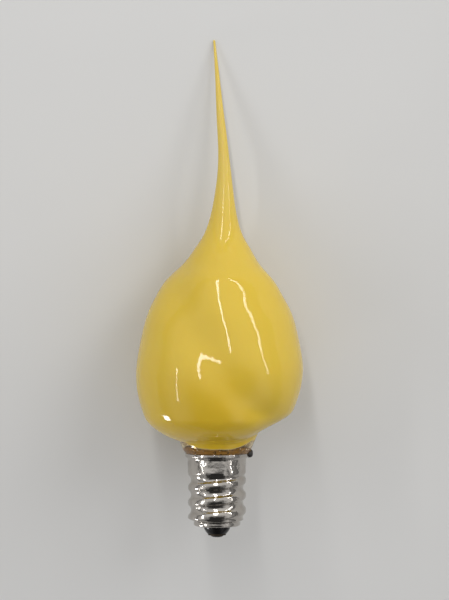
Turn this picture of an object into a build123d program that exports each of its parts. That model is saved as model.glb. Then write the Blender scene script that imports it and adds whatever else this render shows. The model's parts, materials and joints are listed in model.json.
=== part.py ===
from build123d import *
import os
from math import atan2, cos, degrees, exp, pi, radians, sin, sqrt, tan

# A small screw-cap lamp dipped in thick silicone that is drawn out to a long tail.
# Sizes are in millimetres and angles in degrees. The lamp is built along +Y from the tip of its
# centre contact, with its upper side towards +Z, and it is laid on its belly and tail at the end.
# Heights are distances along +Y. An angle round the lamp starts at +X and goes up over the top.

# Screw shell
CREST_RADIUS = 5.875
THREAD_PITCH = 3.0
THREAD_DEPTH = 0.635
SHEET = 0.25
FLOOR_HEIGHT = 2.3
SHELL_LENGTH = 14.5
FIRST_CREST = 2.4
END_LIP_RADIUS = 4.7
END_LIP_LENGTH = 0.8
END_LIP_ROUND = 0.4
END_SLOPE_LENGTH = 0.8
RUN_OUT_LENGTH = 1.5
RUN_OUT_SINK = 0.06
COLLAR_LENGTH = 2.2
FLARE_LENGTH = 0.9
LIP_LENGTH = 0.5
RIM_FLARE = 0.5
CEMENT_HEIGHT = 7.0

# Insulator and centre contact
INSULATOR_FOOT_RADIUS = 2.8
INSULATOR_TIP_RADIUS = 1.95
INSULATOR_DEPTH = 2.6
INSULATOR_CLEARANCE = 0.15
CONTACT_RADIUS = 1.8
CONTACT_THICKNESS = 0.3
SOLDER_RADIUS = 1.35
SOLDER_HEIGHT = 0.45

# Glass envelope
GLASS_RADIUS = 11.1
GLASS_LENGTH = 38.7
GLASS_WALL = 0.6
NECK_CLEARANCE = 0.5
NECK_DROP = 2.2
NECK_LENGTH = 5.6
MOUTH_GAP = 0.45
THROAT_PLACE = 0.125
THROAT_SHARE = 0.4
# Share of the glass's radius at places from the top of its neck (0) to its tip (1)
GLASS_SHAPE = [(0.39, 1.0), (0.7, 0.74), (0.87, 0.45), (0.965, 0.22), (1.0, 0.0)]

# Stem inside the envelope
STEM_RADIUS = 2.2
STEM_WALL = 0.45
FLARE_HEIGHT = 3.5
STEM_LENGTH = 8.5
PINCH_LENGTH = 4.0
PINCH_WIDTH = 4.8
PINCH_THICKNESS = 1.7
EXHAUST_RADIUS = 0.95
EXHAUST_BORE = 0.5
EXHAUST_LENGTH = 10.5
BLOW_HOLE_RADIUS = 0.3

# Wires
LEAD_RADIUS = 0.15
LEAD_SPACING = 2.7
LEAD_REACH = 11.5
FILAMENT_SPAN = 8.4
FILAMENT_RADIUS = 0.2
FILAMENT_RISE = 1.4
LEAD_STRAIGHT = 2.5
SUPPORT_RADIUS = 0.1
SUPPORT_COUNT = 2
SUPPORT_SPREAD = 1.9
SUPPORT_BEND = 1.0
HOOK_CLEARANCE = 0.05

# Solder on the rim
RIM_SOLDER_WIDTH = 1.7
RIM_SOLDER_HEIGHT = 0.85

# Silicone coat
SKIN = 0.65
TAIL_LENGTH = 44.6
LEDGE_HEIGHT = 2.35
LEDGE_ROUND = 5.0
LEDGE_SOFTNESS = 0.06
LEDGE_FULLNESS = 0.7
LEDGE_END = 0.3
RIGHT_LEDGE_RISE = 2.85
RIGHT_LEDGE_WIDTH = 38.0
UNDER_LEDGE_RISE = 2.0
UNDER_LEDGE_WIDTH = 30.0
UNDER_LEDGE_ANGLE = 222.0
SETTLE_DEPTH = 0.45
SETTLE_SOFTNESS = 0.05

# Thickness of the silicone over the glass, from the shell's rim (0) to the tip of the glass (1)
BODY_THICKNESS = [
    (0.0, 5.6),
    (0.13, 5.6),
    (0.31, 5.5),
    (0.43, 5.7),
    (0.59, 6.3),
    (0.71, 7.0),
    (0.81, 7.1),
    (0.9, 7.1),
]
# Radius of the tail, from the tip of the glass (1) to its own tip (2)
TAIL_RADIUS = [
    (1.0, 7.75),
    (1.05, 5.9),
    (1.1, 4.35),
    (1.18, 2.95),
    (1.29, 2.0),
    (1.45, 1.2),
    (1.62, 0.85),
    (1.8, 0.5),
    (2.0, 0.2),
]
# Sideways shift of the silicone from the axis, on the same scale
SIDE_SHIFT = [
    (0.0, 0.0),
    (0.2, 0.1),
    (0.45, 0.55),
    (0.8, 0.6),
    (1.0, 1.0),
    (1.25, 1.4),
    (1.45, 1.4),
    (1.65, 0.7),
    (1.85, 0.0),
    (2.0, -0.6),
]
# Valleys between the lobes: the angle round the lamp at places along it, on the same scale
FRONT_FOLD = [
    (0.0, -5),
    (0.14, 15),
    (0.19, 46),
    (0.3, 73),
    (0.46, 91),
    (0.64, 108),
    (0.9, 143),
    (1.1, 165),
]
LEFT_FOLD = [
    (0.0, 205),
    (0.21, 215),
    (0.5, 243),
    (0.9, 290),
    (1.1, 310),
]
UNDER_FOLD = [
    (0.0, 245),
    (0.14, 255),
    (0.45, 272),
    (0.85, 345),
    (1.1, 370),
]
FOLD_DEPTHS = [1.3, 1.1, 1.1]
FOLD_WIDTHS = [4.2, 3.8, 3.8]
FOLD_TOP = 1.08
FOLD_FADE = 0.16

# How finely the outlines and the coat are drawn, and where the coat's surface meets itself
OUTLINE_STEPS = 20
SEAM_ANGLE = 200.0
SECTION_POINTS = 32
FIRST_SECTION_STEP = 0.65
SECTION_GROWTH = 1.25
LAST_SECTION_STEP = 4.5

# Worked out from the sizes above
RIM_HEIGHT = FLOOR_HEIGHT + SHELL_LENGTH
GLASS_TIP = RIM_HEIGHT + GLASS_LENGTH
RIM_RADIUS = CREST_RADIUS + RIM_FLARE
ROOT_RADIUS = CREST_RADIUS - THREAD_DEPTH
FLARE_FOOT = RIM_HEIGHT - LIP_LENGTH - FLARE_LENGTH
COLLAR_FOOT = FLARE_FOOT - COLLAR_LENGTH
THREAD_TOP = COLLAR_FOOT - RUN_OUT_LENGTH
THREAD_ARC = ((THREAD_PITCH / 4) ** 2 + (THREAD_DEPTH / 2) ** 2) / THREAD_DEPTH
NECK_RADIUS = ROOT_RADIUS - SHEET - NECK_CLEARANCE
NECK_TOP = RIM_HEIGHT - NECK_DROP
NECK_FOOT = NECK_TOP - NECK_LENGTH
PINCH_FOOT = NECK_FOOT + STEM_LENGTH
LEAD_TOP = PINCH_FOOT + PINCH_LENGTH + LEAD_REACH
LEAD_X = LEAD_SPACING / 2
TAIL_TIP = GLASS_TIP + TAIL_LENGTH


# Helpers

def turned(profile):
    """A solid of revolution about the lamp's axis from edges that close a half section."""
    return revolve(make_face(profile), axis=Axis.Y)


def turned_outline(points):
    """A solid of revolution from straight lines through (radius, height) points."""
    return turned(Polyline(*points, close=True))


def across_at(curve, height):
    """The X of a curve in the XY plane where it reaches a height. It climbs all the way."""
    low = 0.0
    high = 1.0
    for _ in range(40):
        middle = (low + high) / 2
        if curve.position_at(middle).Y < height:
            low = middle
        else:
            high = middle
    return curve.position_at((low + high) / 2).X


def around(radius, angle, height, shift=0.0):
    """A point at an angle round the axis, which may be shifted sideways."""
    turn = radians(angle)
    return Vector(shift + radius * cos(turn), height, radius * sin(turn))


def along(place):
    """The height of a place: 0 at the shell's rim, 1 at the tip of the glass, 2 at the tail's tip."""
    if place <= 1:
        return RIM_HEIGHT + place * (GLASS_TIP - RIM_HEIGHT)
    return GLASS_TIP + (place - 1) * TAIL_LENGTH


def place_of(height):
    """The place of a height, on the scale that along() uses."""
    if height <= GLASS_TIP:
        return (height - RIM_HEIGHT) / (GLASS_TIP - RIM_HEIGHT)
    return 1 + (height - GLASS_TIP) / TAIL_LENGTH


def curve_over_height(table):
    """A smooth curve through (place, value) pairs, with the value along X."""
    return Spline(*[(value, along(place)) for place, value in table])


def wire_along(points, bends, radius):
    """A round wire along straight runs joined by arcs."""
    path = FilletPolyline(*points, radius=bends)
    section = Plane(origin=path @ 0, z_dir=path % 0) * Circle(radius)
    return sweep(section, path=path)


# Screw shell

def thread_radius(turn, inset):
    """Radius of the knuckle thread's arcs at a share of a turn from the crest, inset by a sheet."""
    offset = abs((turn + 0.5) % 1 - 0.5) * THREAD_PITCH
    crest_arc = THREAD_ARC - inset
    root_arc = THREAD_ARC + inset
    if offset <= crest_arc * (THREAD_PITCH / 4) / THREAD_ARC:
        return CREST_RADIUS - THREAD_ARC + sqrt(crest_arc ** 2 - offset ** 2)
    from_root = THREAD_PITCH / 2 - offset
    return ROOT_RADIUS + THREAD_ARC - sqrt(root_arc ** 2 - from_root ** 2)


def thread_prism(inset):
    """The threaded stretch as one twisted prism, a right-hand thread."""
    length = COLLAR_FOOT - FLOOR_HEIGHT
    top_crest = 90 + 360 * FIRST_CREST / THREAD_PITCH
    points = []
    for step in range(SECTION_POINTS):
        angle = 360 * step / SECTION_POINTS
        radius = thread_radius((angle - top_crest) / 360, inset)
        points.append(around(radius, angle, FLOOR_HEIGHT))
    section = Wire([Edge.make_spline(points, periodic=True)])
    centre = (0, FLOOR_HEIGHT, 0)
    return Solid.extrude_linear_with_rotation(section, centre, (0, length, 0), 360 * length / THREAD_PITCH)


def thread_limit(inset):
    """What the thread is cut to: the end lip, the slope behind it and the full crest above."""
    lip = END_LIP_RADIUS - inset
    corner = max(END_LIP_ROUND - inset, SHEET / 3)
    floor = FLOOR_HEIGHT + inset
    slope_foot = FLOOR_HEIGHT + END_LIP_LENGTH
    slope_top = slope_foot + END_SLOPE_LENGTH
    outside = RIM_RADIUS + 1
    with BuildLine() as profile:
        Polyline((0, floor), (lip - corner, floor))
        RadiusArc((lip - corner, floor), (lip, floor + corner), -corner)
        Polyline(
            (lip, floor + corner),
            (lip, slope_foot),
            (CREST_RADIUS - inset, slope_top),
            (outside, slope_top),
            (outside, COLLAR_FOOT),
            (0, COLLAR_FOOT),
            (0, floor),
        )
    return turned(profile.line)


def collar(inset, top):
    """The plain collar with its run-out below and its flared rim above."""
    wide = CREST_RADIUS - inset
    rim = RIM_RADIUS - inset
    foot = ROOT_RADIUS - RUN_OUT_SINK - inset
    with BuildLine() as profile:
        Polyline((0, THREAD_TOP), (foot, THREAD_TOP))
        Spline((foot, THREAD_TOP), (wide, COLLAR_FOOT), tangents=[(0, 1), (0, 1)])
        Line((wide, COLLAR_FOOT), (wide, FLARE_FOOT))
        Spline((wide, FLARE_FOOT), (rim, RIM_HEIGHT - LIP_LENGTH), tangents=[(0, 1), (0, 1)])
        Polyline((rim, RIM_HEIGHT - LIP_LENGTH), (rim, top), (0, top), (0, THREAD_TOP))
    return turned(profile.line)


def shell_form(inset, top):
    """The filled shape of the shell, inset by nothing for its outside or a sheet for its inside."""
    return (thread_prism(inset) & thread_limit(inset)) + collar(inset, top)


def make_shell(cavity):
    hole = Pos(0, FLOOR_HEIGHT, 0) * Rot(X=-90) * Cylinder(INSULATOR_FOOT_RADIUS, 2 * SHEET + 1)
    return shell_form(0, RIM_HEIGHT) - cavity - hole


# Insulator, contact and solder

def make_insulator():
    body = min(END_LIP_RADIUS - END_LIP_ROUND, ROOT_RADIUS - THREAD_DEPTH) - SHEET - INSULATOR_CLEARANCE
    floor = FLOOR_HEIGHT + SHEET
    seat = SOLDER_HEIGHT + CONTACT_THICKNESS
    bulge = (INSULATOR_FOOT_RADIUS + INSULATOR_TIP_RADIUS) / 2 + SHEET / 2
    with BuildLine() as profile:
        ThreePointArc(
            (INSULATOR_TIP_RADIUS, seat),
            (bulge, (seat + FLOOR_HEIGHT) / 2),
            (INSULATOR_FOOT_RADIUS, FLOOR_HEIGHT),
        )
        Polyline(
            (INSULATOR_FOOT_RADIUS, FLOOR_HEIGHT),
            (INSULATOR_FOOT_RADIUS, floor),
            (body, floor),
            (body, floor + INSULATOR_DEPTH),
            (2 * LEAD_RADIUS, floor + INSULATOR_DEPTH - LEAD_RADIUS),
            (LEAD_RADIUS, floor + INSULATOR_DEPTH - 3 * LEAD_RADIUS),
            (LEAD_RADIUS, seat),
            (INSULATOR_TIP_RADIUS, seat),
        )
    return turned(profile.line)


def make_contact_plate():
    ring = [
        (LEAD_RADIUS, SOLDER_HEIGHT),
        (CONTACT_RADIUS, SOLDER_HEIGHT),
        (CONTACT_RADIUS, SOLDER_HEIGHT + CONTACT_THICKNESS),
        (LEAD_RADIUS, SOLDER_HEIGHT + CONTACT_THICKNESS),
    ]
    return turned_outline(ring)


def make_contact_solder(lead):
    with BuildLine() as profile:
        Line((0, 0), (0, SOLDER_HEIGHT))
        Line((0, SOLDER_HEIGHT), (SOLDER_RADIUS, SOLDER_HEIGHT))
        Spline((SOLDER_RADIUS, SOLDER_HEIGHT), (0, 0), tangents=[(-0.3, -1), (-1, 0)])
    return turned(profile.line) - lead


def rim_solder_form():
    """A flattened drop of solder, before what it lies on is cut out of it."""
    half = RIM_SOLDER_WIDTH / 2
    with BuildLine() as profile:
        Line((-RIM_SOLDER_HEIGHT, 0), (RIM_SOLDER_HEIGHT, 0))
        Spline((RIM_SOLDER_HEIGHT, 0), (0, half), (-RIM_SOLDER_HEIGHT, 0), tangents=[(0, 1), (0, -1)])
    return Pos(RIM_RADIUS, RIM_HEIGHT, 0) * revolve(make_face(profile.line), axis=Axis.X)


# Glass envelope and cement

def make_cement_form(cavity):
    """The filled mouth of the shell, up to where the glass swells out to the rim's bore."""
    foot = Pos(0, COLLAR_FOOT, 0) * Rot(X=-90)
    up = (Align.CENTER, Align.CENTER, Align.MIN)
    return foot * Cylinder(RIM_RADIUS - SHEET, CEMENT_HEIGHT, align=up) & cavity


def glass_outline():
    """Outside of the glass from the top of its neck to its tip."""
    span = GLASS_TIP - NECK_TOP
    throat = NECK_RADIUS + THROAT_SHARE * (GLASS_RADIUS - NECK_RADIUS)
    mouth = RIM_RADIUS - SHEET - MOUTH_GAP
    points = [(NECK_RADIUS, NECK_TOP), (mouth, RIM_HEIGHT), (throat, NECK_TOP + THROAT_PLACE * span)]
    points += [(share * GLASS_RADIUS, NECK_TOP + place * span) for place, share in GLASS_SHAPE]
    return Spline(*points, tangents=[(0, 1), (-1, 0)])


def inset_curve(outline, inset):
    """The outline moved in towards the axis by a wall, through points square to it."""
    points = []
    for step in range(OUTLINE_STEPS + 1):
        tangent = outline.tangent_at(step / OUTLINE_STEPS)
        points.append(outline.position_at(step / OUTLINE_STEPS) + Vector(-tangent.Y, tangent.X) * inset)
    return Spline(*points)


def glass_solid(outline, wall):
    """The filled shape inside the outline and its straight neck, inset by a wall."""
    radius = NECK_RADIUS - wall
    curve = inset_curve(outline, wall) if wall > 0 else outline
    straight = Polyline((radius, NECK_TOP), (radius, NECK_FOOT), (0, NECK_FOOT), (0, GLASS_TIP - wall))
    return turned(curve.edges() + straight.edges())


# Stem

def stem_cone():
    """The flared foot that closes the neck, and the tube above it, as a thin wall."""
    neck_bore = NECK_RADIUS - GLASS_WALL
    tube_bore = STEM_RADIUS - STEM_WALL
    flare_top = NECK_FOOT + FLARE_HEIGHT
    with BuildLine() as profile:
        Spline((neck_bore, NECK_FOOT), (STEM_RADIUS, flare_top), tangents=[(-1, 0), (0, 1)])
        Line((STEM_RADIUS, flare_top), (STEM_RADIUS, PINCH_FOOT))
        Line((STEM_RADIUS, PINCH_FOOT), (tube_bore, PINCH_FOOT))
        Line((tube_bore, PINCH_FOOT), (tube_bore, flare_top))
        Spline((tube_bore, flare_top), (neck_bore, NECK_FOOT - STEM_WALL), tangents=[(0, -1), (1, 0)])
        Polyline(
            (neck_bore, NECK_FOOT - STEM_WALL),
            (NECK_RADIUS, NECK_FOOT - STEM_WALL),
            (NECK_RADIUS, NECK_FOOT),
            (neck_bore, NECK_FOOT),
        )
    return turned(profile.line)


def stem_pinch():
    """The squeezed top of the stem, round below and flat above."""
    upright = Plane(origin=(0, PINCH_FOOT, 0), x_dir=(1, 0, 0), z_dir=(0, 1, 0))
    squeeze = PINCH_LENGTH / 2
    corner = PINCH_THICKNESS / 2 - 0.05
    flat = RectangleRounded(PINCH_WIDTH, PINCH_THICKNESS, corner)
    foot = upright * Circle(STEM_RADIUS)
    middle = upright.offset(squeeze) * flat
    return loft([foot.face(), middle.face()]) + extrude(middle, amount=PINCH_LENGTH - squeeze)


def exhaust_tube():
    """The tube that the lamp was pumped out through, sealed to a point below."""
    tip = PINCH_FOOT - EXHAUST_LENGTH
    round_top = tip + 2 * EXHAUST_RADIUS
    with BuildLine() as outer:
        Line((0, PINCH_FOOT), (EXHAUST_RADIUS, PINCH_FOOT))
        Line((EXHAUST_RADIUS, PINCH_FOOT), (EXHAUST_RADIUS, round_top))
        Spline((EXHAUST_RADIUS, round_top), (0, tip), tangents=[(0, -1), (-1, -0.4)])
        Line((0, tip), (0, PINCH_FOOT))
    return turned(outer.line)


def make_stem(leads):
    bore_foot = PINCH_FOOT - EXHAUST_LENGTH + 2 * EXHAUST_RADIUS
    bore_top = PINCH_FOOT + 3 * BLOW_HOLE_RADIUS
    up = (Align.CENTER, Align.CENTER, Align.MIN)
    bore = Pos(0, bore_foot, 0) * Rot(X=-90) * Cylinder(EXHAUST_BORE, bore_top - bore_foot, align=up)
    blow_hole = Pos(0, bore_top - BLOW_HOLE_RADIUS, 0) * Cylinder(BLOW_HOLE_RADIUS, STEM_RADIUS + 1, align=up)
    stem = stem_cone() + stem_pinch() + exhaust_tube() - bore - blow_hole
    return stem - leads


# Wires

def lead_head(side):
    """Points of a lead wire from the pinch down to the foot of the stem, from its hooked top end."""
    return [
        (side * FILAMENT_SPAN / 2, LEAD_TOP, 0),
        (side * FILAMENT_SPAN / 2, LEAD_TOP - LEAD_STRAIGHT, 0),
        (side * LEAD_X, PINCH_FOOT + PINCH_LENGTH + LEAD_STRAIGHT, 0),
    ]


def make_contact_lead():
    """The lead that runs down through the insulator to the centre contact."""
    turn_in = PINCH_FOOT - EXHAUST_LENGTH
    points = lead_head(-1) + [
        (-LEAD_X, turn_in, 0),
        (0, FLOOR_HEIGHT + SHEET + INSULATOR_DEPTH + LEAD_RADIUS, 0),
        (0, SOLDER_HEIGHT / 2, 0),
    ]
    return wire_along(points, 4 * LEAD_RADIUS, LEAD_RADIUS)


def make_shell_lead(outline):
    """The lead that turns out under the stem's foot and runs up beside the neck to the rim."""
    beside_neck = (NECK_RADIUS + ROOT_RADIUS - SHEET) / 2
    under_foot = NECK_FOOT - STEM_WALL - 3 * LEAD_RADIUS
    at_lip = (across_at(outline, RIM_HEIGHT) + RIM_RADIUS - SHEET) / 2
    points = lead_head(1) + [
        (LEAD_X, under_foot, 0),
        (beside_neck, under_foot, 0),
        (beside_neck, NECK_TOP - 4 * LEAD_RADIUS, 0),
        (at_lip, RIM_HEIGHT - LIP_LENGTH / 2, 0),
        (at_lip, RIM_HEIGHT + 2 * LEAD_RADIUS, 0),
        (RIM_RADIUS, RIM_HEIGHT + 2 * LEAD_RADIUS, 0),
    ]
    return wire_along(points, 1.4 * LEAD_RADIUS, LEAD_RADIUS)


def filament_path():
    half = FILAMENT_SPAN / 2
    return ThreePointArc(
        (-half, LEAD_TOP - FILAMENT_RADIUS, 0),
        (0, LEAD_TOP - FILAMENT_RADIUS + FILAMENT_RISE, 0),
        (half, LEAD_TOP - FILAMENT_RADIUS, 0),
    )


def make_filament(leads):
    path = filament_path()
    section = Plane(origin=path @ 0, z_dir=path % 0) * Circle(FILAMENT_RADIUS)
    return sweep(section, path=path) - leads


def make_supports():
    """Thin wires that stand on the pinch and hold the filament in open hooks."""
    path = filament_path()
    pinch_top = PINCH_FOOT + PINCH_LENGTH
    hook = FILAMENT_RADIUS + HOOK_CLEARANCE + SUPPORT_RADIUS
    supports = []
    for index in range(SUPPORT_COUNT):
        share = (index + 1) / (SUPPORT_COUNT + 1)
        held = path @ share
        foot_x = (share - 0.5) * SUPPORT_SPREAD
        ring = Plane(origin=held, z_dir=path % share) * Torus(hook, SUPPORT_RADIUS)
        hook_foot = held.Y - hook
        straight = (hook_foot - pinch_top) / 4
        points = [
            (foot_x, pinch_top, 0),
            (foot_x, pinch_top + straight, 0),
            (held.X, hook_foot - straight, 0),
            (held.X, hook_foot, 0),
        ]
        rod = wire_along(points, SUPPORT_BEND, SUPPORT_RADIUS)
        supports.append(rod + ring)
    return supports


# Silicone coat

def fold(angle, height, valley, depth, width, half_width):
    """Depth of a valley between two lobes at one point of the coat."""
    place = place_of(height)
    away = (angle - across_at(valley, height) + 180) % 360 - 180
    across = radians(away) * half_width * cos(pi / 4)
    fade = min(max((FOLD_TOP - place) / FOLD_FADE, 0), 1)
    return depth * fade * fade * (3 - 2 * fade) * exp(-(across / width) ** 2)


def bump(angle, centre, width):
    """A smooth rise round one angle, 1 at its middle."""
    away = (angle - centre + 180) % 360 - 180
    return exp(-(away / width) ** 2)


def ledge_share(angle, height):
    """How far the thick lobes have swelled out at a height above the rim, from 0 to 1."""
    rise = RIGHT_LEDGE_RISE * bump(angle, 0, RIGHT_LEDGE_WIDTH)
    rise += UNDER_LEDGE_RISE * bump(angle, UNDER_LEDGE_ANGLE, UNDER_LEDGE_WIDTH)
    level = (height - RIM_HEIGHT - LEDGE_HEIGHT - rise) / (LEDGE_ROUND - rise / 2)
    level = min(max(level, 0), 1)
    level = level * level * (1 + LEDGE_SOFTNESS) / (level + LEDGE_SOFTNESS)
    return (1 - (1 - level) ** 2) ** LEDGE_FULLNESS


class Coat:
    """Curves that the coat's surface is worked out from."""

    def __init__(self, outline):
        self.glass = outline
        body = []
        for place, thickness in BODY_THICKNESS:
            body.append((across_at(outline, along(place)) + thickness, along(place)))
        for place, radius in TAIL_RADIUS:
            body.append((radius, along(place)))
        self.half_width = Spline(*body)
        self.shift = curve_over_height(SIDE_SHIFT)
        self.valleys = [curve_over_height(table) for table in (FRONT_FOLD, LEFT_FOLD, UNDER_FOLD)]

    def ring(self, height, count):
        """Points of the coat's surface round the lamp at one height."""
        half_width = across_at(self.half_width, height)
        shift = across_at(self.shift, height)
        near_ledge = height < along(LEDGE_END)
        skin = across_at(self.glass, height) + SKIN if near_ledge else half_width
        points = []
        for step in range(count):
            angle = SEAM_ANGLE + 360 * step / count
            radius = half_width
            if height < along(FOLD_TOP):
                for valley, depth, width in zip(self.valleys, FOLD_DEPTHS, FOLD_WIDTHS):
                    radius -= fold(angle, height, valley, depth, width, half_width)
            if near_ledge:
                radius = skin + (radius - skin) * ledge_share(angle, height)
            points.append(around(radius, angle, height, shift))
        return points


def section_heights():
    """Heights of the coat's sections, close together at its lower edge."""
    heights = [RIM_HEIGHT]
    step = FIRST_SECTION_STEP
    ledge_top = RIM_HEIGHT + LEDGE_HEIGHT + LEDGE_ROUND
    while heights[-1] + 1.5 * step < TAIL_TIP:
        heights.append(heights[-1] + step)
        if heights[-1] > ledge_top:
            step = min(step * SECTION_GROWTH, LAST_SECTION_STEP)
    heights.append(TAIL_TIP)
    return heights


def settled(point, tilt):
    """A point of the coat kept above the floor it lies on, so that the soft belly is a little flat."""
    floor = -(TAIL_TIP - point.Y) * tan(radians(tilt)) - TAIL_RADIUS[-1][1]
    above = point.Z - floor
    return Vector(point.X, point.Y, floor + (above + sqrt(above ** 2 + SETTLE_SOFTNESS ** 2)) / 2)


def coat_form(coat, tilt):
    """The filled shape of the coat, lofted through rings."""
    wires = []
    for height in section_heights():
        points = coat.ring(height, SECTION_POINTS)
        if height < GLASS_TIP:
            points = [settled(point, tilt) for point in points]
        wires.append(Wire([Edge.make_spline(points, periodic=True)]))
    return Solid.make_loft(wires)


# Lying down

def resting_tilt(coat):
    """How far the axis tips down to the tail so that the settled belly and the tip both touch."""
    tip_depth = TAIL_RADIUS[-1][1]
    steepest = 0.0
    for height in section_heights()[:-1]:
        deepest = -min(point.Z for point in coat.ring(height, 4 * SECTION_POINTS))
        steepest = max(steepest, atan2(deepest - SETTLE_DEPTH - tip_depth, TAIL_TIP - height))
    return degrees(steepest)


def floor_under(tilt):
    """How far the floor is below the contact tip once the axis is tipped."""
    return TAIL_TIP * sin(radians(tilt)) + TAIL_RADIUS[-1][1] * cos(radians(tilt))


def lay_down(pieces, tilt):
    """Tip every piece onto its belly and tail and centre the whole over its own foot."""
    laid = {name: Rot(X=-tilt) * piece for name, piece in pieces.items()}
    boxes = [piece.bounding_box() for piece in laid.values()]
    middle_x = (min(box.min.X for box in boxes) + max(box.max.X for box in boxes)) / 2
    middle_y = (min(box.min.Y for box in boxes) + max(box.max.Y for box in boxes)) / 2
    centred = Pos(-middle_x, -middle_y, floor_under(tilt))
    print(f"tips down to its tail by {tilt:.3f} degrees")
    print(f"the contact tip lies at {-middle_x:.3f}, {-middle_y:.3f}, {floor_under(tilt):.3f}")
    return {name: centred * piece for name, piece in laid.items()}


# The whole lamp

def build():
    outline = glass_outline()
    coat = Coat(outline)
    cavity = shell_form(SHEET, GLASS_TIP)
    glass = glass_solid(outline, 0)
    contact_lead = make_contact_lead()
    shell_lead = make_shell_lead(outline)
    leads = contact_lead + shell_lead
    shell = make_shell(cavity)
    cement_form = make_cement_form(cavity)
    cement = cement_form - glass - leads
    core = cement_form + glass
    drop = rim_solder_form()
    rim_solder = drop - shell - core - leads
    tilt = resting_tilt(coat)
    silicone = coat_form(coat, tilt) - core - drop
    return {
        "silicone_coat": silicone,
        "glass_envelope": glass - glass_solid(outline, GLASS_WALL),
        "stem_glass": make_stem(leads),
        "lead_wire_contact": contact_lead,
        "lead_wire_shell": shell_lead,
        "filament": make_filament(leads),
        "filament_supports": Compound(children=make_supports()),
        "cap_cement": cement,
        "screw_shell": shell,
        "cap_insulator": make_insulator(),
        "contact_plate": make_contact_plate(),
        "contact_solder": make_contact_solder(contact_lead),
        "rim_solder": rim_solder,
    }, tilt


os.makedirs("parts", exist_ok=True)
made, resting = build()
for node, piece in lay_down(made, resting).items():
    export_step(piece, f"parts/{node}.step")
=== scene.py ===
"""Looks of a small night-light lamp that is dipped in thick yellow silicone.

Sizes are in millimetres in the lamp's own frame, which runs along +Y from the tip of its centre
contact, with +Z on its upper side. LAMP turns them into metres where the lamp lies.
"""

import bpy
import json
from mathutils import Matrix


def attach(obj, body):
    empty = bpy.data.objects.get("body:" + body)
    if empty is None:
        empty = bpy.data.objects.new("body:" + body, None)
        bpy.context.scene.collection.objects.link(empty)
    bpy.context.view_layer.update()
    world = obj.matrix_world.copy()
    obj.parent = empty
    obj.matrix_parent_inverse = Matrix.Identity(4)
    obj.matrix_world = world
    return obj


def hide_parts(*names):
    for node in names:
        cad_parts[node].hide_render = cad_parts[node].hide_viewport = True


bl_info = {
    "name": "Silicone-dipped night-light lamp",
    "version": (1, 0, 0),
    "blender": (4, 5, 0),
    "location": "View3D > Sidebar > Lamp",
    "description": "Dresses the lamp's fixed frame with its silicone, nickel, glass and wire",
    "category": "Object",
}

import json
import math

import bpy
import numpy as np
from bpy.props import FloatProperty, FloatVectorProperty, IntProperty, PointerProperty
from mathutils import Matrix, Vector

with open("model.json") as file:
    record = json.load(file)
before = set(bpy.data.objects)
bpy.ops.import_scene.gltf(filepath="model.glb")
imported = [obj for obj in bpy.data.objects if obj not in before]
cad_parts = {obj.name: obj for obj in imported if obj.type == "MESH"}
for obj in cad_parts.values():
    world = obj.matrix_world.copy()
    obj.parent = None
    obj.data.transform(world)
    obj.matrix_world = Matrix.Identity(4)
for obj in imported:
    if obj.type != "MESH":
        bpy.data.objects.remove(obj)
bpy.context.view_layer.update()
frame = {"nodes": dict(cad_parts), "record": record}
BODY = "root"
MM = 0.001

# The lamp's place, from the mount at the tip of its screw cap
CAP = next(mount for mount in frame["record"]["mounts"] if mount["name"] == "screw_cap")
TIP = Vector(CAP["pos_m"])
UP_THE_LAMP = -Vector(CAP["axis"]).normalized()
RIGHT = Vector((1, 0, 0))
TOP_SIDE = RIGHT.cross(UP_THE_LAMP)
LAMP_TURN = Matrix((RIGHT, UP_THE_LAMP, TOP_SIDE)).transposed().to_4x4()
LAMP = Matrix.Translation(TIP) @ LAMP_TURN @ Matrix.Scale(MM, 4)
TILT = math.atan2(-UP_THE_LAMP.z, UP_THE_LAMP.y)

# Heights up the lamp that several pieces share
FLOOR_HEIGHT = 2.3
SHELL_LENGTH = 14.5
RIM_HEIGHT = FLOOR_HEIGHT + SHELL_LENGTH
RIM_RADIUS = 6.375
SHEET = 0.25
GLASS_TIP = 55.5
TAIL_TIP = 100.1
TAIL_END_RADIUS = 0.2

# Glass: share of its radius at places from the top of its neck to its tip
GLASS_RADIUS = 11.1
NECK_RADIUS = 4.49
NECK_TOP = 14.6
MOUTH_GAP = 0.45
THROAT_PLACE = 0.125
THROAT_SHARE = 0.4
GLASS_SHAPE = [(0.39, 1.0), (0.7, 0.74), (0.87, 0.45), (0.965, 0.22), (1.0, 0.0)]

# Silicone over the glass, from the cap's rim (0) to the glass's tip (1) and the tail's tip (2)
BODY_THICKNESS = [
    (0.0, 5.6), (0.13, 5.6), (0.31, 5.5), (0.43, 5.7), (0.59, 6.3), (0.71, 7.0), (0.81, 7.1),
    (0.9, 7.1),
]
TAIL_RADIUS = [
    (1.0, 7.75), (1.05, 5.9), (1.1, 4.35), (1.18, 2.95), (1.29, 2.0), (1.45, 1.2), (1.62, 0.85),
    (1.8, 0.5), (2.0, TAIL_END_RADIUS),
]
SIDE_SHIFT = [
    (0.0, 0.0), (0.2, 0.1), (0.45, 0.55), (0.8, 0.6), (1.0, 1.0), (1.25, 1.4), (1.45, 1.4),
    (1.65, 0.7), (1.85, 0.0), (2.0, -0.6),
]
# Valleys between the lobes: angle round the lamp at places up it
FRONT_FOLD = [
    (0.0, 20), (0.12, 32), (0.2, 47), (0.3, 71), (0.46, 91), (0.64, 108), (0.9, 143), (1.1, 165),
]
LEFT_FOLD = [(0.0, 205), (0.21, 215), (0.5, 243), (0.9, 290), (1.1, 310)]
UNDER_FOLD = [(0.0, 245), (0.14, 255), (0.45, 272), (0.85, 345), (1.1, 370)]
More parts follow.
